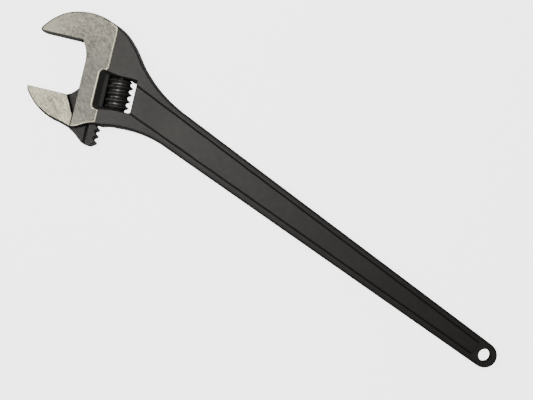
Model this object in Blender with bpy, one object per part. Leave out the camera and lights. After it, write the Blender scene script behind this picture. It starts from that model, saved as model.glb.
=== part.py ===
"""Adjustable wrench: a one-piece forging, a sliding jaw with a rack, a worm, its pin and its spring.

Frame: the wrench lies flat, its mid-plane is z = 0, and the handle runs along +X.
The origin is the centre of the fixed jaw's clamping face.
Dimensions are in millimetres and are turned into metres when a mesh is made.
Head coordinates (u, w) share the origin: w is the jaw's closing direction, u points into the throat.
"""

import bpy
import bmesh
from math import atan2, cos, hypot, pi, radians, sin, sqrt
from mathutils import Matrix, Vector

MM = 0.001

# Head and jaws
HEAD_ANGLE = radians(22.5)        # the head frame is turned this far from the handle
HEAD_HALF = 13.8                  # half thickness of the forged head
PAD_HALF = 14.5                   # half thickness over the ground faces
OPENING = 60.8                    # between the clamping faces as built
SLIDE_FACE_U = 29.1               # the head face that the jaw slides along
JAW_GAP = 0.3                     # running gap between the jaw and the head
DRAFT = 0.12                      # forging draft, sideways per unit of height
EDGE_ROUND = 1.6

# Handle
HANDLE_CENTRE_Y = -12.7
HANDLE_START_X = 155.0
HANDLE_END_X = 568.4              # centre of the round end and of the hanging hole
HANDLE_HALF_AT_170 = 20.7
HANDLE_TAPER = 0.0169             # half width lost per unit of length
NECK_HALF = 8.8                   # half thickness where the neck ends
TAIL_HALF = 6.0                   # half thickness at the round end
NECK_FROM_X = 80.0
HANG_HOLE_R = 6.9
PANEL_DEPTH = 1.4
PANEL_HALF_AT_220 = 12.75
PANEL_TAPER = 0.0158
PANEL_CENTRE_Y = -12.35
PANEL_END_X = 555.5

# Window, worm and rack
WINDOW_U = (57.6, 87.9)           # its -u side overhangs the worm's flank
WINDOW_W = (-65.25, -29.65)
WINDOW_LIP = 1.6                  # how far a lip reaches down beside the worm's upper end
WORM_U = 69.5
WORM_W = (-64.95, -30.95)
WORM_CREST_R = 14.4
WORM_ROOT_R = 10.6
PITCH = 7.3
CREST_W = -38.3                   # a thread crest on the +u side
WORM_BORE_R = 4.1
WORM_SIDES = 36
COUNTERBORE_R = 7.0
COUNTERBORE_DEPTH = 6.0
RACK_CREST_U = 58.1
RACK_LEFT_U = 44.8
RACK_HALF = 8.5
RACK_TOP_W = -45.8
RACK_CLEARANCE = 0.4
WEB_HALF = 5.0
CHANNEL_TOP_W = 15.75

# Pin and spring
PIN_R = 4.0
PIN_W = (-83.0, -17.0)
PIN_HEAD_R = 5.5
PIN_HEAD_LENGTH = 3.7
SPRING_MEAN_R = 5.4
SPRING_WIRE_R = 0.6
SPRING_TURNS = 3.0


# ---------------------------------------------------------------- plain geometry

def head_point(u, w):
    """Head coordinates to part coordinates."""
    return (u * cos(HEAD_ANGLE) - w * sin(HEAD_ANGLE),
            u * sin(HEAD_ANGLE) + w * cos(HEAD_ANGLE))


def in_head(points):
    return [head_point(u, w) for u, w in points]


def curve(knots, steps=3):
    """A smooth line through the knots (Catmull-Rom), both ends included."""
    line = []
    last = len(knots) - 1
    for i in range(last):
        a = knots[max(i - 1, 0)]
        b = knots[i]
        c = knots[i + 1]
        d = knots[min(i + 2, last)]
        for step in range(steps):
            t = step / steps
            line.append(tuple(
                0.5 * (2 * b[k] + (c[k] - a[k]) * t
                       + (2 * a[k] - 5 * b[k] + 4 * c[k] - d[k]) * t * t
                       + (3 * b[k] - a[k] - 3 * c[k] + d[k]) * t ** 3)
                for k in range(2)))
    line.append(tuple(knots[-1]))
    return line


def arc(centre, radius, start_deg, end_deg, steps):
    cx, cy = centre
    line = []
    for i in range(steps + 1):
        a = radians(start_deg + (end_deg - start_deg) * i / steps)
        line.append((cx + radius * cos(a), cy + radius * sin(a)))
    return line


def signed_area(loop):
    return 0.5 * sum(a[0] * b[1] - b[0] * a[1] for a, b in zip(loop, loop[1:] + loop[:1]))


def anticlockwise(loop):
    return loop if signed_area(loop) > 0 else loop[::-1]


def inset(loop, amount):
    """Move each corner of an anticlockwise loop inwards; amount is a number or one value per corner."""
    count = len(loop)
    moved = []
    for i in range(count):
        before = Vector(loop[i]) - Vector(loop[i - 1])
        after = Vector(loop[(i + 1) % count]) - Vector(loop[i])
        before.normalize()
        after.normalize()
        n1 = Vector((-before.y, before.x))
        n2 = Vector((-after.y, after.x))
        d = amount[i] if isinstance(amount, list) else amount
        shift = (n1 + n2) * (d / max(1.0 + n1.dot(n2), 0.35))
        moved.append((loop[i][0] + shift.x, loop[i][1] + shift.y))
    return moved


# ---------------------------------------------------------------- mesh helpers

def material(name, colour, metallic, roughness):
    mat = bpy.data.materials.new(name)
    mat.use_nodes = True
    shader = mat.node_tree.nodes["Principled BSDF"]
    shader.inputs["Base Color"].default_value = (*colour, 1.0)
    shader.inputs["Metallic"].default_value = metallic
    shader.inputs["Roughness"].default_value = roughness
    return mat


def add_object(name, bm, origin=(0.0, 0.0, 0.0), mat=None, smooth=False):
    """Turn a millimetre bmesh in part coordinates into an object with its origin at the given point."""
    bmesh.ops.recalc_face_normals(bm, faces=bm.faces[:])
    bmesh.ops.triangulate(bm, faces=bm.faces[:])
    if bm.calc_volume(signed=True) < 0:
        bmesh.ops.reverse_faces(bm, faces=bm.faces[:])
    bmesh.ops.transform(bm, matrix=Matrix.Translation(Vector(origin) * -1), verts=bm.verts[:])
    bmesh.ops.scale(bm, vec=(MM, MM, MM), verts=bm.verts[:])
    mesh = bpy.data.meshes.new(name)
    bm.to_mesh(mesh)
    bm.free()
    for face in mesh.polygons:
        face.use_smooth = smooth
    obj = bpy.data.objects.new(name, mesh)
    obj.location = Vector(origin) * MM
    bpy.context.scene.collection.objects.link(obj)
    if mat:
        mesh.materials.append(mat)
    return obj


def loft(bm, rings, close_ends=True):
    """Skin a list of equally long closed rings of 3-D points."""
    rows = [[bm.verts.new(p) for p in ring] for ring in rings]
    count = len(rows[0])
    for low, high in zip(rows, rows[1:]):
        for i in range(count):
            j = (i + 1) % count
            bm.faces.new((low[i], low[j], high[j], high[i]))
    if close_ends:
        bm.faces.new(rows[0][::-1])
        bm.faces.new(rows[-1])
    return rows


def prism(loop, z_low, z_high):
    bm = bmesh.new()
    loft(bm, [[(x, y, z_low) for x, y in loop], [(x, y, z_high) for x, y in loop]])
    return bm


def add_tool(target, name, bm, operation):
    """Cut a shape from the target, or join it to the target."""
    tool = add_object(name, bm)
    tool.hide_render = True
    tool.display_type = "WIRE"
    step = target.modifiers.new(name, "BOOLEAN")
    step.object = tool
    step.operation = operation
    step.solver = "EXACT"
    return tool


def cylinder(centre, direction, radius, length, sides=32):
    """A cylinder along direction that starts at centre."""
    axis = Vector(direction).normalized()
    side = axis.cross(Vector((0, 0, 1)))
    if side.length < 0.5:
        side = Vector((1, 0, 0))
    side.normalize()
    up = axis.cross(side)
    bm = bmesh.new()
    rings = []
    for along in (0.0, length):
        mid = Vector(centre) + axis * along
        rings.append([mid + (side * cos(2 * pi * i / sides) + up * sin(2 * pi * i / sides)) * radius
                      for i in range(sides)])
    loft(bm, rings)
    return bm


# ---------------------------------------------------------------- the forging

def half_thickness(x):
    """Half thickness of the forging at a distance along the handle."""
    if x >= HANDLE_START_X:
        run = (x - HANDLE_START_X) / (HANDLE_END_X + 14.0 - HANDLE_START_X)
        return NECK_HALF + (TAIL_HALF - NECK_HALF) * run
    if x <= NECK_FROM_X:
        return HEAD_HALF
    t = (x - NECK_FROM_X) / (HANDLE_START_X - NECK_FROM_X)
    return HEAD_HALF + (NECK_HALF - HEAD_HALF) * t * t * (3 - 2 * t)


def handle_half_width(x):
    return HANDLE_HALF_AT_170 - HANDLE_TAPER * (x - 170.0)


def forging_outline():
    """The parting line. The stretch along the jaws and the slide face is left oversize for the cut."""
    head_top = in_head([(-26.6, 0.8), (-26.5, 2.6), (-24.9, 6.0), (-16.7, 15.7), (-6.5, 23.8),
                        (3.7, 28.4), (14.0, 30.7), (25.0, 31.8), (36.0, 30.3), (47.3, 26.6),
                        (58.4, 22.1), (68.4, 15.6), (79.5, 4.2), (89.1, -8.6)])
    neck_top = [(92.6, 22.4), (103.6, 17.7), (114.9, 13.8), (126.6, 11.0), (138.4, 9.2), (150.0, 8.3)]
    top = curve(head_top + neck_top, 3)
    end_half = handle_half_width(HANDLE_END_X)
    end = arc((HANDLE_END_X, HANDLE_CENTRE_Y), end_half, 89.0, -89.0, 20)
    neck_low = [(150.0, -34.1), (139.6, -35.5), (127.9, -38.0), (116.6, -41.8), (105.6, -46.6),
                (95.2, -52.3)]
    arm_low = in_head([(60.0, -86.3), (50.0, -87.3), (44.5, -89.2), (39.8, -91.8), (34.5, -94.0),
                       (28.0, -96.0)])
    low = curve(neck_low + arm_low, 3)
    spare = in_head([(17.0, -99.0), (17.0, -30.0), (10.0, -9.0), (-25.6, -9.0)])
    return anticlockwise(top + end + low + spare)


def forged_slab(outline, thickness, stations=()):
    """A slab with a parting line at z = 0, draft on both halves and rounded rims."""
    outline = anticlockwise(outline)
    halves = []
    for side in (-1, 1):
        rings = []
        for angle in (0, 30, 60, 90):
            a = radians(angle)
            amounts = []
            for x, y in outline:
                rim = thickness(x) - EDGE_ROUND
                amounts.append(DRAFT * rim + EDGE_ROUND * (1 - cos(a)))
            ring = inset(outline, amounts)
            rings.append([(x, y, side * (thickness(x) - EDGE_ROUND * (1 - sin(a)))) for x, y in ring])
        halves.append(rings)
    bm = bmesh.new()
    middle = [(x, y, 0.0) for x, y in outline]
    loft(bm, halves[0][::-1] + [middle] + halves[1])
    for x in stations:
        bmesh.ops.bisect_plane(bm, geom=bm.verts[:] + bm.edges[:] + bm.faces[:],
                               plane_co=(x, 0, 0), plane_no=(1, 0, 0))
    return bm


def pad_outline():
    """The ground C-shaped band: fixed jaw, throat and the strip beside the window."""
    rim = in_head([(-23.2, -1.0), (-23.3, 1.8), (-22.0, 4.8), (-14.8, 13.6), (-5.3, 21.6),
                   (4.4, 26.2), (14.3, 28.5), (24.9, 29.8), (35.6, 28.3), (46.6, 24.8), (51.6, 22.7)])
    right = in_head([(53.6, 21.7), (54.7, 20.4), (55.0, 18.6), (55.0, -22.6), (54.4, -24.6),
                     (53.0, -26.0), (48.0, -27.5), (47.6, -66.0), (50.0, -69.7), (54.1, -69.9),
                     (54.1, -82.0), (53.6, -82.9)])
    foot = in_head([(53.6, -82.9), (48.8, -84.4), (43.9, -86.4), (38.9, -89.6), (34.0, -92.0),
                    (29.6, -93.2), (26.0, -94.0)])
    spare = in_head([(26.0, -30.0), (22.0, -12.0), (16.0, -3.0), (-21.0, -3.0)])
    return curve(rim, 3) + right[:-1] + curve(foot, 2) + spare


def jaw_space_outline():
    """What is cut away between the jaws: clamping face, throat and slide face."""
    tip = [(-60.0, 0.0)]
    throat = curve([(21.6, 0.0), (24.1, -4.4), (26.6, -9.3), (28.4, -15.2), (SLIDE_FACE_U, -22.0)], 3)
    return in_head(tip + throat + [(SLIDE_FACE_U, -130.0), (-60.0, -130.0)])


def window_outline():
    (u0, u1), (w0, w1), r = WINDOW_U, WINDOW_W, 2.0
    lip = w1 - WINDOW_LIP
    upper_right = [(u1, lip - 0.6), (u1 - 0.6, lip), (81.8, lip), (80.4, w1)]
    corners = (arc((u0 + r, w0 + r), r, 180, 270, 3) + arc((u1 - r, w0 + r), r, 270, 360, 3)
               + upper_right + arc((u0 + r, w1 - r), r, 90, 180, 3))
    return in_head(corners)


def thumb_dish(side):
    """The sloping recess round the window on one face."""
    surface = [(46.6, -29.5), (47.6, -27.0), (50.2, -25.4), (88.6, -28.9),
               (88.6, -65.9), (50.3, -69.3), (47.6, -68.2), (46.5, -65.4)]
    floor = [(53.2, -31.8), (53.8, -30.6), (55.2, -29.9), (87.2, -29.9),
             (87.2, -65.0), (55.2, -65.0), (53.8, -64.3), (53.2, -63.1)]
    top, low, high = 14.3, 10.5, 18.0
    k = (high - low) / (top - low)
    above = [(f[0] + (s[0] - f[0]) * k, f[1] + (s[1] - f[1]) * k) for s, f in zip(surface, floor)]
    bm = bmesh.new()
    loft(bm, [[(x, y, side * low) for x, y in in_head(floor)],
              [(x, y, side * high) for x, y in in_head(above)]])
    return bm


def web_slot():
    """The slot through which the jaw's web reaches its rack."""
    top = curve([(14.8, 0.2), (21.3, 3.6), (26.3, 9.4), (29.2, 12.7), (33.0, 15.0), (38.0, 15.7)], 2)
    right = RACK_LEFT_U + 0.6
    loop = in_head([(10.0, -1.0)] + top + [(right, CHANNEL_TOP_W), (right, -120.0), (10.0, -120.0)])
    half = WEB_HALF + JAW_GAP
    return prism(loop, -half, half)


def rack_channel():
    """The bore for the rack bar, open at the foot of the head and into the window."""
    left = RACK_LEFT_U - JAW_GAP
    right = RACK_CREST_U + 0.5
    half = RACK_HALF + JAW_GAP
    section = [(left, -6.1), (left + 2.6, -half), (right, -half), (right, half), (left + 2.6, half),
               (left, 6.1)]
    bm = bmesh.new()
    rings = []
    for w in (-120.0, CHANNEL_TOP_W):
        ring = []
        for u, z in section:
            x, y = head_point(u, w)
            ring.append((x, y, z))
        rings.append(ring)
    loft(bm, rings)
    return bm


def panel_edge(x, side):
    return PANEL_CENTRE_Y + side * (PANEL_HALF_AT_220 - PANEL_TAPER * (x - 220.0))


def panel_cut(side, stations):
    """The sunk panel on one face of the handle. Its floor follows the handle's thickness."""
    loop = anticlockwise([(90.0, panel_edge(90.0, 1)), (PANEL_END_X, panel_edge(PANEL_END_X, 1)),
                          (PANEL_END_X, panel_edge(PANEL_END_X, -1)), (100.5, panel_edge(100.5, -1))])
    floor = inset(loop, 0.5)
    above = inset(loop, -1.0)
    bm = bmesh.new()
    loft(bm, [[(x, y, 0.0) for x, y in floor], [(x, y, 1.0) for x, y in above]])
    for x in stations:
        bmesh.ops.bisect_plane(bm, geom=bm.verts[:] + bm.edges[:] + bm.faces[:],
                               plane_co=(x, 0, 0), plane_no=(1, 0, 0))
    for vert in bm.verts:
        depth = -PANEL_DEPTH if vert.co.z < 0.5 else 2.8
        vert.co.z = side * (half_thickness(vert.co.x) + depth)
    return bm


def make_forging(mat):
    stations = [NECK_FROM_X + 7.5 * i for i in range(11)]
    body = add_object("wrench_body", forged_slab(forging_outline(), half_thickness, stations), mat=mat)
    add_tool(body, "ground_pad", prism(pad_outline(), -PAD_HALF, PAD_HALF), "UNION")
    add_tool(body, "jaw_space", prism(jaw_space_outline(), -30, 30), "DIFFERENCE")
    add_tool(body, "window", prism(window_outline(), -30, 30), "DIFFERENCE")
    add_tool(body, "thumb_dish_front", thumb_dish(1), "DIFFERENCE")
    add_tool(body, "thumb_dish_back", thumb_dish(-1), "DIFFERENCE")
    add_tool(body, "web_slot", web_slot(), "DIFFERENCE")
    add_tool(body, "rack_channel", rack_channel(), "DIFFERENCE")
    add_tool(body, "panel_front", panel_cut(1, stations), "DIFFERENCE")
    add_tool(body, "panel_back", panel_cut(-1, stations), "DIFFERENCE")
    along = head_point(0, 1)
    foot = (*head_point(WORM_U, PIN_W[0] - 8.0), 0)
    bore_length = PIN_W[1] + 0.5 - (PIN_W[0] - 8.0)
    add_tool(body, "pin_bore", cylinder(foot, (*along, 0), PIN_R + 0.1, bore_length), "DIFFERENCE")
    add_tool(body, "pin_head_seat", cylinder(foot, (*along, 0), PIN_HEAD_R + 0.2,
                                             8.0 + PIN_HEAD_LENGTH + 0.2), "DIFFERENCE")
    hole = cylinder((HANDLE_END_X, HANDLE_CENTRE_Y, -20), (0, 0, 1), HANG_HOLE_R, 40, 40)
    add_tool(body, "hanging_hole", hole, "DIFFERENCE")
    return body


# ---------------------------------------------------------------- the worm thread and its rack

def thread_radius(phase):
    """Worm radius at a fraction of a pitch from the crest: narrow round crests, wide valleys."""
    lobe = 0.5 + 0.5 * cos(2 * pi * phase)
    return WORM_ROOT_R + (WORM_CREST_R - WORM_ROOT_R) * lobe ** 1.5


def worm_surface_radius(angle, w):
    """Angle is measured from +Z towards +u; the thread is right-handed."""
    phase = (w - CREST_W) / PITCH - (angle - pi / 2) / (2 * pi)
    radius = thread_radius(phase)
    from_end = min(w - WORM_W[0], WORM_W[1] - w)
    return min(radius, 10.7 + 1.1 * from_end)


def rack_edge(w):
    """The rack's tooth line at z = 0: the worm's outline with clearance, cut off at the crest plane."""
    reach = 0.0
    for i in range(-8, 9):
        off = RACK_CLEARANCE * i / 8
        phase = (w + off - CREST_W) / PITCH - 0.5
        reach = max(reach, thread_radius(phase) + sqrt(max(RACK_CLEARANCE ** 2 - off * off, 0)))
    return min(WORM_U - reach, RACK_CREST_U)


def rack_bar():
    """The bar with its teeth, sheared by the worm's lead so the grooves lie along the thread."""
    lean = PITCH / (2 * pi * 13.0)
    steps = 84
    low_w = -107.4
    teeth = []
    for i in range(steps + 1):
        w = low_w + (RACK_TOP_W - 1.0 - low_w) * i / steps
        teeth.append((rack_edge(w), w))
    foot = curve([(RACK_LEFT_U, -108.2), (48.3, -109.1), (51.6, -109.5), (54.0, -108.7)], 2)
    rings = []
    for z in (-RACK_HALF, -6.0, 6.0, RACK_HALF):
        left = RACK_LEFT_U if abs(z) < 7 else RACK_LEFT_U + 2.6
        ring = []
        for u, w in foot:
            ring.append((max(u, left), w))
        for u, w in teeth:
            ring.append((u, w + lean * z))
        ring.append((56.5, RACK_TOP_W))
        ring.append((left, RACK_TOP_W))
        rings.append([(*head_point(u, w), z) for u, w in ring])
    bm = bmesh.new()
    loft(bm, rings)
    return bm


def make_worm(mat):
    mid_w = 0.5 * (WORM_W[0] + WORM_W[1])
    rows = 46
    outer = []
    for k in range(rows + 1):
        w = WORM_W[0] + (WORM_W[1] - WORM_W[0]) * k / rows
        outer.append([(worm_surface_radius(2 * pi * i / WORM_SIDES, w), w) for i in range(WORM_SIDES)])
    inner = [(COUNTERBORE_R, WORM_W[1]), (COUNTERBORE_R, WORM_W[1] - COUNTERBORE_DEPTH),
             (WORM_BORE_R, WORM_W[1] - COUNTERBORE_DEPTH), (WORM_BORE_R, WORM_W[0])]
    for pair in inner:
        outer.append([pair] * WORM_SIDES)
    bm = bmesh.new()
    rings = []
    for row in outer:
        ring = []
        for i, (radius, w) in enumerate(row):
            angle = 2 * pi * i / WORM_SIDES
            x, y = head_point(WORM_U + radius * sin(angle), w)
            ring.append((x, y, radius * cos(angle)))
        rings.append(ring)
    verts = loft(bm, rings, close_ends=False)
    first, last = verts[0], verts[-1]
    for i in range(WORM_SIDES):
        j = (i + 1) % WORM_SIDES
        bm.faces.new((last[i], last[j], first[j], first[i]))
    origin = (*head_point(WORM_U, mid_w), 0.0)
    return add_object("adjusting_worm", bm, origin, mat, smooth=True)


# ---------------------------------------------------------------- the movable jaw

def jaw_outline():
    """Parting line of the jaw's thick part, left oversize on the faces that are cut flat."""
    lower = curve([(-26.8, -61.6), (-26.6, -63.6), (-24.9, -67.8), (-20.2, -73.4), (-13.4, -80.2),
                   (-4.0, -86.0), (6.0, -90.1), (17.0, -92.6), (28.0, -96.0)], 3)
    return in_head(lower + [(40.0, -101.0), (40.0, -76.0), (24.0, -51.0), (-26.4, -51.0)])


def jaw_trim():
    """Everything outside the clamping face, the sloping back edge and the slide face."""
    right = SLIDE_FACE_U - JAW_GAP
    keep = [(right, -120.0), (right, -81.3), (18.2, -OPENING), (-34.0, -OPENING), (-34.0, -40.0),
            (50.0, -40.0), (50.0, -120.0)]
    return prism(in_head(keep), -30, 30)


def jaw_web():
    """The thin web from the jaw's thick part to the rack bar."""
    top = curve([(12.0, -61.6), (16.0, -60.4), (21.3, -57.5), (26.3, -52.1), (29.4, -48.7),
                 (33.6, -46.5), (39.0, RACK_TOP_W)], 2)
    foot = curve([(49.0, -108.6), (43.5, -107.6), (40.2, -105.3), (34.2, -100.3), (27.4, -96.0),
                  (20.0, -92.2), (12.0, -88.0)], 2)
    return prism(in_head(top + [(49.0, RACK_TOP_W)] + foot), -WEB_HALF, WEB_HALF)


def make_jaw(mat):
    jaw = add_object("movable_jaw", forged_slab(jaw_outline(), lambda x: PAD_HALF), mat=mat)
    add_tool(jaw, "jaw_trim", jaw_trim(), "DIFFERENCE")
    add_tool(jaw, "jaw_web", jaw_web(), "UNION")
    add_tool(jaw, "rack_bar", rack_bar(), "UNION")
    return jaw


# ---------------------------------------------------------------- pin and spring

def make_pin(mat):
    """The worm's axle: a plain pin with a slotted head in the lower arm."""
    low, high = PIN_W
    profile = [(0.0, low), (PIN_HEAD_R - 0.5, low), (PIN_HEAD_R, low + 0.5),
               (PIN_HEAD_R, low + PIN_HEAD_LENGTH), (PIN_R, low + PIN_HEAD_LENGTH),
               (PIN_R, high - 0.8), (PIN_R - 0.8, high), (0.0, high)]
    sides = 32
    bm = bmesh.new()
    rings = []
    for radius, w in profile[1:-1]:
        ring = []
        for i in range(sides):
            a = 2 * pi * i / sides
            x, y = head_point(WORM_U + radius * sin(a), w)
            ring.append((x, y, radius * cos(a)))
        rings.append(ring)
    loft(bm, rings)
    pin = add_object("worm_pin", bm, mat=mat, smooth=True)
    slot = prism(in_head([(WORM_U - 8, low - 2), (WORM_U + 8, low - 2), (WORM_U + 8, low + 1.6),
                          (WORM_U - 8, low + 1.6)]), -0.8, 0.8)
    add_tool(pin, "driver_slot", slot, "DIFFERENCE")
    return pin


def make_spring(mat):
    """A short compression spring in the worm's counterbore."""
    low = WORM_W[1] - COUNTERBORE_DEPTH + SPRING_WIRE_R + 0.12
    high = WINDOW_W[1] - SPRING_WIRE_R - 0.12
    steps = 54
    sides = 6
    rings = []
    for k in range(steps + 1):
        a = 2 * pi * SPRING_TURNS * k / steps
        w = low + (high - low) * k / steps
        ring = []
        for i in range(sides):
            b = 2 * pi * i / sides
            radius = SPRING_MEAN_R + SPRING_WIRE_R * cos(b)
            x, y = head_point(WORM_U + radius * sin(a), w + SPRING_WIRE_R * sin(b))
            ring.append((x, y, radius * cos(a)))
        rings.append(ring)
    bm = bmesh.new()
    loft(bm, rings)
    return add_object("worm_spring", bm, mat=mat, smooth=True)


def main():
    for obj in list(bpy.data.objects):
        bpy.data.objects.remove(obj, do_unlink=True)
    black = material("blackened_steel", (0.035, 0.033, 0.032), 0.6, 0.5)
    jaw_steel = material("jaw_steel", (0.30, 0.28, 0.25), 0.9, 0.4)
    worm_steel = material("oiled_steel", (0.02, 0.02, 0.02), 0.8, 0.25)
    pin_steel = material("pin_steel", (0.10, 0.10, 0.10), 0.9, 0.35)
    spring_steel = material("spring_steel", (0.25, 0.25, 0.26), 1.0, 0.3)
    make_forging(black)
    make_jaw(jaw_steel)
    make_worm(worm_steel)
    make_pin(pin_steel)
    make_spring(spring_steel)


main()
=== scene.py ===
"""Looks for the adjustable wrench: forged black steel, ground head faces, an oiled black worm."""

from math import cos, pi, radians, sin

import bpy
import bmesh
from mathutils import Euler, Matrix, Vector


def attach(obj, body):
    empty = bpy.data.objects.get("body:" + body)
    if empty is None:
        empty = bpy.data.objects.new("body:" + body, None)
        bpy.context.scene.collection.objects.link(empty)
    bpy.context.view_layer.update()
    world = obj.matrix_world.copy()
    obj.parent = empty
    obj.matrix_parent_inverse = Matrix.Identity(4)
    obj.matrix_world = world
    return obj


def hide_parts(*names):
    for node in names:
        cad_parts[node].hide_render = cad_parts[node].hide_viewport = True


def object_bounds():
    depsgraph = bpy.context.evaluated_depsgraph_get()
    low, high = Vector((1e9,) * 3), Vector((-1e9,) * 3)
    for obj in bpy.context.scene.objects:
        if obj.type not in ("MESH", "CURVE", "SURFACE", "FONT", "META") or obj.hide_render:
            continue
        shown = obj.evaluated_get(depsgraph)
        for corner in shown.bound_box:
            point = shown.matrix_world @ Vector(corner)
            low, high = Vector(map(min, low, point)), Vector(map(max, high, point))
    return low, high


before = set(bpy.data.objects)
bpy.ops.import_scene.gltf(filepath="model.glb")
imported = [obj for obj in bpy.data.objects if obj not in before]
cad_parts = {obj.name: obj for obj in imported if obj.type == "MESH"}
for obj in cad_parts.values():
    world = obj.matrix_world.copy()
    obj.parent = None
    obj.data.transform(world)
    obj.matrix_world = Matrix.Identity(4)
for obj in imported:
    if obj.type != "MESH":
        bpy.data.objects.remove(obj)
cad_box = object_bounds()

MM = 0.001

# Sizes that the looks share with the CAD, in millimetres. Head coordinates are (u, w).
HEAD_ANGLE = radians(22.5)
PAD_HALF = 14.5
FORGED_HALF = 13.8
WORM_U = 69.5
WORM_W = (-64.95, -30.95)
WORM_CREST_R = 14.4
WORM_ROOT_R = 10.6
WORM_END_R = 10.7                 # the thread fades to this radius at both ends
WORM_END_RISE = 1.1
PITCH = 7.3
CREST_W = -38.3
WORM_BORE_R = 4.1
COUNTERBORE_R = 7.0
COUNTERBORE_DEPTH = 6.0
SPRING_MEAN_R = 5.4
SPRING_WIRE_R = 0.6
SPRING_TURNS = 3.0
SPRING_END_GAP = 0.12
WINDOW_TOP_W = -29.65
PANEL_CENTRE_Y = -12.35
PANEL_HALF_AT_220 = 12.75
PANEL_TAPER = 0.0158
PANEL_X = (93.0, 555.5)

# Places where the looks change, in millimetres
PAD_BORDER = ((47.0, 24.3), (53.9, 21.0), (54.9, 18.0), (54.9, -22.6), (53.0, -25.6), (48.4, -26.4),
              (46.2, -29.6), (46.2, -65.4), (48.0, -68.6), (54.0, -69.9), (54.0, -82.6), (43.9, -86.3),
              (34.0, -91.6), (29.0, -93.2))
DULL_SPOT = (42.0, -48.0)         # the ground steel is duller near this place in the head
DISH_RIGHT_U = (58.4, 59.4)       # the dish's painted shade ends here
DISH_TOP_Z = (12.8, 13.4)
RAILS_FROM_X = (115.0, 165.0)     # the painted shade on the handle's rails starts here

# Colours
SCALE_TONES = ((0.029, 0.027, 0.026), (0.038, 0.035, 0.033), (0.052, 0.048, 0.045), (0.070, 0.066, 0.062))
# Painted shade: the near-black that the skin goes to on its sides, rims, panel border, rails and dish.
PAINTED_SHADE_COLOUR = (0.006, 0.006, 0.006)
BODY_TONES = ((0.080, 0.076, 0.062), (0.31, 0.293, 0.237))
JAW_TONES = ((0.120, 0.112, 0.086), (0.42, 0.396, 0.304))
DULL_STEEL = (0.072, 0.072, 0.068)
TIP_STEEL = (0.36, 0.345, 0.280)
# Painted highlight: the bright line along the pad's inner border.
RIM_HIGHLIGHT_STEEL = (0.80, 0.755, 0.58)
OILED_TONES = ((0.080, 0.079, 0.078), (0.140, 0.138, 0.135))
SPRING_TONES = ((0.20, 0.20, 0.21), (0.34, 0.33, 0.32))
PIN_TONES = ((0.07, 0.07, 0.07), (0.14, 0.135, 0.13))

# Floor and lights
FLOOR_REACH = 30.0
FLOOR_DROP = 0.0005               # keeps the floor clear of the wrench's lowest face
FLOOR_WHITE = 0.75
FLOOR_GLOW = 3.4
WORLD_LIGHT = 0.14

# Camera, looking straight down at the wrench
VIEW_POINT = (279.4, -15.4)
VIEW_HEIGHT = 1075.0
VIEW_TURN = radians(35.98)
LENS = 67.0


def head_point(u, w):
    """Head coordinates to the part's x and y: w is the jaw's closing direction."""
    return (u * cos(HEAD_ANGLE) - w * sin(HEAD_ANGLE),
            u * sin(HEAD_ANGLE) + w * cos(HEAD_ANGLE))


# ---------------------------------------------------------------- node helpers

class Nodes:
    """Short names for building a material's node tree."""

    def __init__(self, name):
        self.material = bpy.data.materials.new(name)
        self.material.use_nodes = True
        self.tree = self.material.node_tree
        self.shader = self.tree.nodes["Principled BSDF"]

    def new(self, kind, **values):
        node = self.tree.nodes.new(kind)
        for key, value in values.items():
            setattr(node, key, value)
        return node

    def link(self, source, target):
        self.tree.links.new(source, target)

    def fill(self, socket, value):
        """Link a socket to another, or set it to a constant."""
        if isinstance(value, tuple):
            socket.default_value = (*value, 1.0)
        elif isinstance(value, (int, float)):
            socket.default_value = value
        else:
            self.link(value, socket)

    def position(self):
        return self.new("ShaderNodeTexCoord").outputs["Object"]

    def separate(self, vector):
        node = self.new("ShaderNodeSeparateXYZ")
        self.link(vector, node.inputs[0])
        return node.outputs

    def vector(self, operation, a, b=None):
        """A vector node between a socket and a constant or another socket."""
        node = self.new("ShaderNodeVectorMath", operation=operation)
        self.link(a, node.inputs[0])
        if isinstance(b, (tuple, Vector)):
            node.inputs[1].default_value = b
        elif b is not None:
            self.link(b, node.inputs[1])
        return node.outputs["Value" if operation in ("LENGTH", "DISTANCE", "DOT_PRODUCT") else 0]

    def math(self, operation, a, b=None, clamp=False):
        node = self.new("ShaderNodeMath", operation=operation, use_clamp=clamp)
        self.fill(node.inputs[0], a)
        if b is not None:
            self.fill(node.inputs[1], b)
        return node.outputs[0]

    def noise(self, vector, scale, detail=3.0, roughness=0.5, distortion=0.0):
        node = self.new("ShaderNodeTexNoise")
        node.inputs["Scale"].default_value = scale
        node.inputs["Detail"].default_value = detail
        node.inputs["Roughness"].default_value = roughness
        node.inputs["Distortion"].default_value = distortion
        self.link(vector, node.inputs["Vector"])
        return node.outputs["Fac"]

    def map_range(self, value, low, high, to_low=0.0, to_high=1.0, smooth=False):
        node = self.new("ShaderNodeMapRange")
        node.interpolation_type = "SMOOTHSTEP" if smooth else "LINEAR"
        node.inputs["From Min"].default_value = low
        node.inputs["From Max"].default_value = high
        node.inputs["To Min"].default_value = to_low
        node.inputs["To Max"].default_value = to_high
        self.link(value, node.inputs["Value"])
        return node.outputs["Result"]

    def mix_colour(self, factor, a, b):
        node = self.new("ShaderNodeMix", data_type="RGBA")
        self.link(factor, node.inputs["Factor"])
        self.fill(node.inputs[6], a)
        self.fill(node.inputs[7], b)
        return node.outputs[2]

    def mix_value(self, factor, a, b):
        node = self.new("ShaderNodeMix", data_type="FLOAT")
        self.link(factor, node.inputs["Factor"])
        self.fill(node.inputs[2], a)
        self.fill(node.inputs[3], b)
        return node.outputs[0]

    def bump(self, height, distance, strength):
        node = self.new("ShaderNodeBump")
        node.inputs["Strength"].default_value = strength
        node.inputs["Distance"].default_value = distance
        self.link(height, node.inputs["Height"])
        self.link(node.outputs["Normal"], self.shader.inputs["Normal"])


# ---------------------------------------------------------------- ground steel

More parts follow.
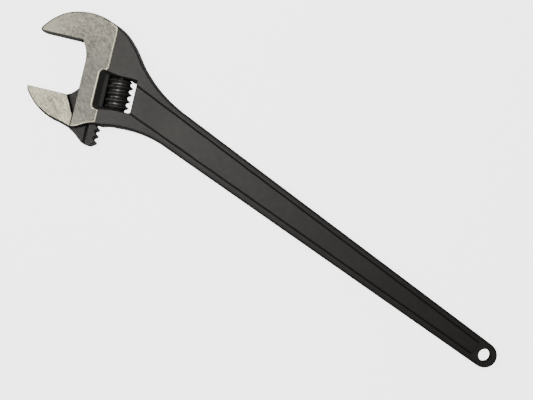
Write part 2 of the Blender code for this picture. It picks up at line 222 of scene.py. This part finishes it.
def arc_scratches(n, position, centre, across, along=14.0):
    """Fine grinding marks: noise that is stretched along circles round a far centre."""
    from_centre = n.vector("SUBTRACT", position, (*centre, 0.0))
    parts = n.separate(from_centre)
    length = n.vector("LENGTH", from_centre)
    angle = n.math("ARCTAN2", parts[1], parts[0])
    polar = n.new("ShaderNodeCombineXYZ")
    n.link(n.math("MULTIPLY", length, across), polar.inputs[0])
    n.link(n.math("MULTIPLY", angle, along), polar.inputs[1])
    return n.noise(polar.outputs[0], 1.0, detail=4.0, roughness=0.6)


def in_head_frame(n, position):
    """The position in head coordinates: x is u, y is w."""
    turn = n.new("ShaderNodeVectorRotate", rotation_type="Z_AXIS")
    turn.inputs["Angle"].default_value = -HEAD_ANGLE
    n.link(position, turn.inputs["Vector"])
    return n.vector("MULTIPLY", turn.outputs[0], (1.0, 1.0, 0.0))


def distance_to_line(n, point, a, b):
    """Distance from a straight stretch between two points in head coordinates."""
    start = Vector((*a, 0.0)) * MM
    run = Vector((*b, 0.0)) * MM - start
    from_start = n.vector("SUBTRACT", point, start)
    along = n.vector("DOT_PRODUCT", from_start, run / run.length_squared)
    share = n.math("ADD", along, 0.0, clamp=True)
    reached = n.new("ShaderNodeVectorMath", operation="SCALE")
    reached.inputs[0].default_value = run
    n.link(share, reached.inputs["Scale"])
    return n.vector("DISTANCE", from_start, reached.outputs[0])


def rim_highlight_mask(n, point):
    """1 along the pad's inner border, where a painted highlight lies on its ground edge."""
    nearest = None
    for a, b in zip(PAD_BORDER, PAD_BORDER[1:]):
        gap = distance_to_line(n, point, a, b)
        nearest = gap if nearest is None else n.math("MINIMUM", nearest, gap)
    return n.map_range(nearest, 0.3 * MM, 1.1 * MM, 1.0, 0.0, smooth=True)


def grinding_marks(n, position):
    """The ground faces' tone, and the height of their scratches."""
    marks = arc_scratches(n, position, (-0.02, -0.22), 1000.0)
    more_marks = arc_scratches(n, position, (0.16, 0.10), 800.0)
    swirls = arc_scratches(n, position, (0.045, -0.030), 700.0, 5.0)
    mottle = n.noise(position, 330.0, detail=5.0, roughness=0.7, distortion=0.8)
    stain = n.noise(position, 45.0)
    tone = n.math("ADD", n.math("MULTIPLY", marks, 0.30), n.math("MULTIPLY", more_marks, 0.22))
    tone = n.math("ADD", tone, n.math("MULTIPLY", swirls, 0.20))
    tone = n.math("ADD", tone, n.math("MULTIPLY", mottle, 0.40))
    tone = n.math("ADD", tone, n.math("MULTIPLY", stain, 0.12))
    height = n.math("ADD", n.math("MULTIPLY", marks, 0.8), n.math("MULTIPLY", more_marks, 0.5))
    return tone, height


def head_band_and_rim_highlight(n, position, steel):
    """The head's ground band: duller beside the window, lighter at the tip, with a painted highlight
    along its border.
    """
    point = in_head_frame(n, position)
    away = n.vector("DISTANCE", point, (DULL_SPOT[0] * MM, DULL_SPOT[1] * MM, 0.0))
    dull = n.map_range(away, 0.010, 0.090, 0.74, 0.18, smooth=True)
    steel = n.mix_colour(dull, steel, DULL_STEEL)
    tip = n.map_range(n.separate(point)[0], 0.014, -0.020, 0.0, 0.55, smooth=True)
    steel = n.mix_colour(tip, steel, TIP_STEEL)
    # Painted highlight along the pad's inner border.
    return n.mix_colour(n.math("MULTIPLY", rim_highlight_mask(n, point), 0.85), steel, RIM_HIGHLIGHT_STEEL)


# ---------------------------------------------------------------- blackened skin and its painted shade

def scale_layers(n, position, shade):
    """Black scale in four tones: its colour, its grain and its height."""
    tones = [tuple(shade * c for c in tone) for tone in SCALE_TONES]
    broad = n.noise(position, 22.0)
    patches = n.noise(position, 120.0, detail=4.0, roughness=0.6)
    grain = n.noise(position, 900.0, detail=2.0, roughness=0.6)
    fine = n.noise(position, 3200.0, detail=2.0)
    colour = n.mix_colour(n.map_range(broad, 0.3, 0.7), tones[0], tones[1])
    colour = n.mix_colour(n.map_range(patches, 0.40, 0.70, 0.0, 0.5), colour, tones[2])
    colour = n.mix_colour(n.map_range(grain, 0.35, 0.75, 0.0, 0.4), colour, tones[3])
    height = n.math("ADD", grain, n.math("MULTIPLY", fine, 0.5))
    height = n.math("ADD", height, n.math("MULTIPLY", patches, 0.6))
    return colour, grain, height


def panel_painted_shade(n, x, y):
    """Painted shade along the border of the handle's sunk panel, and on the rails beside it.
    The border gets a dark line. The rails darken outward, the upper one more."""
    from_middle = n.math("SUBTRACT", y, PANEL_CENTRE_Y * MM)
    half = n.math("SUBTRACT", (PANEL_HALF_AT_220 + PANEL_TAPER * 220.0) * MM,
                  n.math("MULTIPLY", x, PANEL_TAPER))
    beyond = n.math("SUBTRACT", n.math("ABSOLUTE", from_middle), half)
    from_end = n.math("SUBTRACT", x, PANEL_X[1] * MM)
    outside = n.math("MAXIMUM", beyond, from_end)
    # Painted shade: a dark line along the panel's border and its end.
    line = n.map_range(n.math("ABSOLUTE", outside), 0.45 * MM, 1.25 * MM, 1.0, 0.0, smooth=True)
    started = n.map_range(x, PANEL_X[0] * MM, (PANEL_X[0] + 6.0) * MM)
    groove = n.math("MULTIPLY", n.math("MULTIPLY", line, started), 0.92)
    depth = n.map_range(from_middle, -5.0 * MM, 5.0 * MM, 0.45, 0.75)
    # Painted shade on the rails, deeper outward and on the upper rail.
    rail = n.math("MULTIPLY", n.map_range(beyond, 0.5 * MM, 6.5 * MM), depth)
    on_handle = n.map_range(x, RAILS_FROM_X[0] * MM, RAILS_FROM_X[1] * MM, smooth=True)
    return groove, n.math("MULTIPLY", rail, on_handle)


def dish_painted_shade(n, axes):
    """Painted shade in the sloping dish round the worm: how dark it is."""
    u = n.math("ADD", n.math("MULTIPLY", axes[0], cos(HEAD_ANGLE)),
               n.math("MULTIPLY", axes[1], sin(HEAD_ANGLE)))
    sunk = n.map_range(n.math("ABSOLUTE", axes[2]), DISH_TOP_Z[0] * MM, DISH_TOP_Z[1] * MM, 0.75, 0.0)
    return n.math("MULTIPLY", sunk, n.map_range(u, DISH_RIGHT_U[0] * MM, DISH_RIGHT_U[1] * MM, 1.0, 0.0))


def painted_skin_shade(n, axes, has_dish):
    """How far the skin is darkened with painted shade: on its sides and rounded rims, along the handle's
    panel border and rails, and in the dish.
    """
    level = n.math("ABSOLUTE", n.separate(n.new("ShaderNodeNewGeometry").outputs["Normal"])[2])
    # Painted shade on the sides and rounded rims, where the normal tilts away from the flat faces.
    side = n.map_range(level, 0.80, 0.97, 0.5, 0.0, smooth=True)
    rim = n.math("MULTIPLY", n.map_range(level, 0.965, 0.996, 1.0, 0.0, smooth=True),
                 n.map_range(level, 0.30, 0.50, 0.0, 0.85, smooth=True))
    dark = n.math("MAXIMUM", side, rim)
    for more in panel_painted_shade(n, axes[0], axes[1]):
        dark = n.math("MAXIMUM", dark, more)
    return n.math("MAXIMUM", dark, dish_painted_shade(n, axes)) if has_dish else dark


def black_skin(n, position, axes, shade, has_dish):
    """Colour, roughness and height of the blackened skin, with its painted shade."""
    colour, grain, height = scale_layers(n, position, shade)
    dark = painted_skin_shade(n, axes, has_dish)
    rough = n.mix_value(dark, n.map_range(grain, 0.3, 0.7, 0.46, 0.60), 0.72)
    return n.mix_colour(dark, colour, PAINTED_SHADE_COLOUR), rough, height


# ---------------------------------------------------------------- materials

def forging_material(name, ground_from, tones, shade, is_body):
    """Blackened forging with painted shade on its skin. Its faces above the height ground_from are ground
    bright, and the body's ground band gets a painted highlight at its border.
    """
    n = Nodes(name)
    position = n.position()
    axes = n.separate(position)
    black, black_rough, black_height = black_skin(n, position, axes, shade, is_body)
    bright = n.map_range(n.math("ABSOLUTE", axes[2]), ground_from * MM, (ground_from + 0.1) * MM,
                         smooth=True)
    tone, scratch_height = grinding_marks(n, position)
    steel = n.mix_colour(n.map_range(tone, 0.52, 0.70), *tones)
    rough = n.map_range(tone, 0.45, 0.8, 0.52, 0.38)
    if is_body:
        steel = head_band_and_rim_highlight(n, position, steel)
    n.link(n.mix_colour(bright, black, steel), n.shader.inputs["Base Color"])
    n.link(n.mix_value(bright, black_rough, rough), n.shader.inputs["Roughness"])
    n.link(n.mix_value(bright, 0.35, 0.80), n.shader.inputs["Metallic"])
    n.bump(n.mix_value(bright, black_height, scratch_height), 0.00010, 0.6)
    return n.material


def oiled_black():
    """The worm: smooth black oxide with a film of oil."""
    n = Nodes("oiled_black_steel")
    position = n.position()
    streaks = n.noise(position, 260.0)
    fine = n.noise(position, 2500.0, detail=2.0)
    n.link(n.mix_colour(n.map_range(streaks, 0.35, 0.65), *OILED_TONES), n.shader.inputs["Base Color"])
    n.link(n.map_range(streaks, 0.3, 0.7, 0.33, 0.45), n.shader.inputs["Roughness"])
    n.shader.inputs["Metallic"].default_value = 0.85
    n.bump(fine, 0.00004, 0.4)
    return n.material


def turned_steel(name, tones, roughness):
    """Plain steel with fine variation, for the pin and the spring."""
    n = Nodes(name)
    rings = n.noise(n.position(), 1400.0, detail=2.0)
    n.link(n.mix_colour(n.map_range(rings, 0.3, 0.7), *tones), n.shader.inputs["Base Color"])
    n.link(n.map_range(rings, 0.3, 0.7, roughness - 0.06, roughness + 0.08),
           n.shader.inputs["Roughness"])
    n.shader.inputs["Metallic"].default_value = 0.9
    n.bump(rings, 0.00003, 0.4)
    return n.material


# ---------------------------------------------------------------- pieces

def add_piece(name, mesh, mat, body, node):
    mesh.materials.clear()
    mesh.materials.append(mat)
    piece = bpy.data.objects.new(name, mesh)
    bpy.context.scene.collection.objects.link(piece)
    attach(piece, body)
    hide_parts(node)
    return piece


def evaluated_copy(obj):
    bpy.context.view_layer.update()
    graph = bpy.context.evaluated_depsgraph_get()
    return bpy.data.meshes.new_from_object(obj.evaluated_get(graph))


def flatten(mesh, half, reach=0.07):
    """Put vertices that lie within reach of a ground or forged face back on it."""
    for vert in mesh.vertices:
        if abs(abs(vert.co.z) - half * MM) < reach * MM:
            vert.co.z = half * MM if vert.co.z > 0 else -half * MM


def softened(node, voxel, keep, flats):
    """A copy of a CAD node with the soft edges of a forging and its flat faces kept flat."""
    source = bpy.data.objects.new("source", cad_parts[node].data.copy())
    bpy.context.scene.collection.objects.link(source)
    weld = source.modifiers.new("weld", "WELD")
    weld.merge_threshold = 0.00001
    remesh = source.modifiers.new("remesh", "REMESH")
    remesh.mode = "VOXEL"
    remesh.voxel_size = voxel * MM
    smooth = source.modifiers.new("smooth", "SMOOTH")
    smooth.factor = 0.5
    smooth.iterations = 3
    mesh = evaluated_copy(source)
    source.modifiers.clear()
    source.data = mesh
    for half in flats:
        flatten(mesh, half)
    thin = source.modifiers.new("thin", "DECIMATE")
    thin.ratio = keep
    mesh = evaluated_copy(source)
    bpy.data.objects.remove(source)
    for face in mesh.polygons:
        face.use_smooth = True
    return mesh


def weighted_normals(piece):
    step = piece.modifiers.new("weighted_normals", "WEIGHTED_NORMAL")
    step.weight = 80
    step.keep_sharp = True


def ring_mesh(name, rings, closed):
    """Skin rings of millimetre points. A closed mesh joins its last ring to its first."""
    bm = bmesh.new()
    rows = [[bm.verts.new(Vector(p) * MM) for p in ring] for ring in rings]
    pairs = list(zip(rows, rows[1:]))
    if closed:
        pairs.append((rows[-1], rows[0]))
    count = len(rows[0])
    for low, high in pairs:
        for i in range(count):
            j = (i + 1) % count
            bm.faces.new((low[i], low[j], high[j], high[i]))
    if not closed:
        bm.faces.new(rows[0][::-1])
        bm.faces.new(rows[-1])
    bmesh.ops.recalc_face_normals(bm, faces=bm.faces[:])
    mesh = bpy.data.meshes.new(name)
    bm.to_mesh(mesh)
    bm.free()
    for face in mesh.polygons:
        face.use_smooth = True
    return mesh


def worm_radius(angle, w):
    """Right-handed thread with narrow round crests and wide valleys, fading at both ends."""
    phase = (w - CREST_W) / PITCH - (angle - pi / 2) / (2 * pi)
    lobe = 0.5 + 0.5 * cos(2 * pi * phase)
    radius = WORM_ROOT_R + (WORM_CREST_R - WORM_ROOT_R) * lobe ** 1.5
    from_end = min(w - WORM_W[0], WORM_W[1] - w)
    return min(radius, WORM_END_R + WORM_END_RISE * from_end)


def worm_ring(radii, w):
    ring = []
    for i, radius in enumerate(radii):
        angle = 2 * pi * i / len(radii)
        x, y = head_point(WORM_U + radius * sin(angle), w)
        ring.append((x, y, radius * cos(angle)))
    return ring


def worm_bore_profile():
    """Radius and w of the counterbore and the bore, with a second ring beside each corner."""
    floor = WORM_W[1] - COUNTERBORE_DEPTH
    return ((COUNTERBORE_R + 0.2, WORM_W[1]), (COUNTERBORE_R, WORM_W[1] - 0.2),
            (COUNTERBORE_R, floor + 0.02), (COUNTERBORE_R, floor),
            (WORM_BORE_R, floor), (WORM_BORE_R, floor - 0.02),
            (WORM_BORE_R, WORM_W[0] + 0.02), (WORM_BORE_R, WORM_W[0]))


def make_worm():
    sides, rows = 96, 170
    rings = []
    for k in range(rows + 1):
        w = WORM_W[0] + (WORM_W[1] - WORM_W[0]) * k / rows
        rings.append(worm_ring([worm_radius(2 * pi * i / sides, w) for i in range(sides)], w))
    for radius, w in worm_bore_profile():
        rings.append(worm_ring([radius] * sides, w))
    mesh = ring_mesh("worm_knurl", rings, True)
    add_piece("worm_knurl", mesh, oiled_black(), "worm", "adjusting_worm")


def make_spring():
    low = WORM_W[1] - COUNTERBORE_DEPTH + SPRING_WIRE_R + SPRING_END_GAP
    high = WINDOW_TOP_W - SPRING_WIRE_R - SPRING_END_GAP
    steps, sides = 160, 12
    rings = []
    for k in range(steps + 1):
        a = 2 * pi * SPRING_TURNS * k / steps
        w = low + (high - low) * k / steps
        ring = []
        for i in range(sides):
            b = 2 * pi * i / sides
            radius = SPRING_MEAN_R + SPRING_WIRE_R * cos(b)
            x, y = head_point(WORM_U + radius * sin(a), w + SPRING_WIRE_R * sin(b))
            ring.append((x, y, radius * cos(a)))
        rings.append(ring)
    mesh = ring_mesh("spring_wire", rings, False)
    mat = turned_steel("spring_steel", SPRING_TONES, 0.30)
    add_piece("spring_wire", mesh, mat, "body", "worm_spring")


def make_body():
    voxel, keep = ((0.6, 0.26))
    mesh = softened("wrench_body", voxel, keep, (PAD_HALF, FORGED_HALF))
    steel = forging_material("black_forging", FORGED_HALF + 0.14, BODY_TONES, 0.70, True)
    weighted_normals(add_piece("forged_body", mesh, steel, "body", "wrench_body"))


def make_jaw():
    voxel, keep = ((0.45, 0.45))
    mesh = softened("movable_jaw", voxel, keep, (PAD_HALF,))
    # Painted shade: the jaw's black skin is darker than the body's (0.30 against 0.70), for its web and
    # bar that lie lower under the head.
    steel = forging_material("jaw_forging", PAD_HALF - 0.16, JAW_TONES, 0.30, False)
    weighted_normals(add_piece("forged_jaw", mesh, steel, "jaw", "movable_jaw"))


def finish_pin():
    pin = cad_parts["worm_pin"]
    pin.material_slots[0].material = turned_steel("pin_steel", PIN_TONES, 0.35)


# ---------------------------------------------------------------- stage, light and camera

def floor_material():
    """A lit white table: it shows as white, and throws little light back on the wrench."""
    n = Nodes("floor_white")
    n.shader.inputs["Base Color"].default_value = (FLOOR_WHITE, FLOOR_WHITE, FLOOR_WHITE, 1.0)
    n.shader.inputs["Roughness"].default_value = 1.0
    n.shader.inputs["Specular IOR Level"].default_value = 0.0
    glow = n.new("ShaderNodeEmission")
    glow.inputs["Strength"].default_value = FLOOR_GLOW
    lit = n.new("ShaderNodeAddShader")
    n.link(glow.outputs[0], lit.inputs[0])
    n.link(n.shader.outputs[0], lit.inputs[1])
    seen = n.new("ShaderNodeLightPath")
    mix = n.new("ShaderNodeMixShader")
    n.link(seen.outputs["Is Camera Ray"], mix.inputs["Fac"])
    n.link(n.shader.outputs[0], mix.inputs[1])
    n.link(lit.outputs[0], mix.inputs[2])
    n.link(mix.outputs[0], n.tree.nodes["Material Output"].inputs["Surface"])
    return n.material


def make_floor():
    z = cad_box[0][2] - FLOOR_DROP
    bm = bmesh.new()
    bm.faces.new([bm.verts.new((x * FLOOR_REACH, y * FLOOR_REACH, z))
                  for x, y in ((-1, -1), (1, -1), (1, 1), (-1, 1))])
    mesh = bpy.data.meshes.new("floor")
    bm.to_mesh(mesh)
    bm.free()
    mesh.materials.append(floor_material())
    floor = bpy.data.objects.new("floor", mesh)
    bpy.context.scene.collection.objects.link(floor)


def area_light(name, place, target, size, power, colour=(1.0, 1.0, 1.0)):
    data = bpy.data.lights.new(name, "AREA")
    data.shape = "ELLIPSE"
    data.size, data.size_y = size
    data.energy = power
    data.color = colour
    light = bpy.data.objects.new(name, data)
    light.location = place
    aim = Vector(target) - Vector(place)
    light.rotation_euler = aim.to_track_quat("-Z", "Y").to_euler()
    bpy.context.scene.collection.objects.link(light)


def make_lights():
    """A large warm key over the head, which fades along the handle, and two weak fills."""
    world = bpy.data.worlds.new("studio")
    bpy.context.scene.world = world
    world.use_nodes = True
    background = world.node_tree.nodes["Background"]
    background.inputs["Color"].default_value = (1.0, 1.0, 1.0, 1.0)
    background.inputs["Strength"].default_value = WORLD_LIGHT
    area_light("key", (-0.03, -0.07, 0.90), (0.11, -0.04, 0.0), (0.62, 0.62), 7.0, (1.0, 0.98, 0.95))
    area_light("left_fill", (-0.50, -0.12, 0.30), (0.07, -0.02, 0.0), (0.30, 0.30), 0.6)
    area_light("strip", (-0.12, 0.46, 0.30), (0.08, -0.02, 0.0), (0.60, 0.14), 0.7)


def make_camera():
    data = bpy.data.cameras.new("camera")
    data.lens = LENS
    data.sensor_width = 36.0
    camera = bpy.data.objects.new("camera", data)
    camera.location = (VIEW_POINT[0] * MM, VIEW_POINT[1] * MM, VIEW_HEIGHT * MM)
    camera.rotation_euler = Euler((0.0, 0.0, VIEW_TURN))
    bpy.context.scene.collection.objects.link(camera)
    bpy.context.scene.camera = camera


make_body()
make_jaw()
make_worm()
make_spring()
finish_pin()
make_floor()
make_lights()
make_camera()
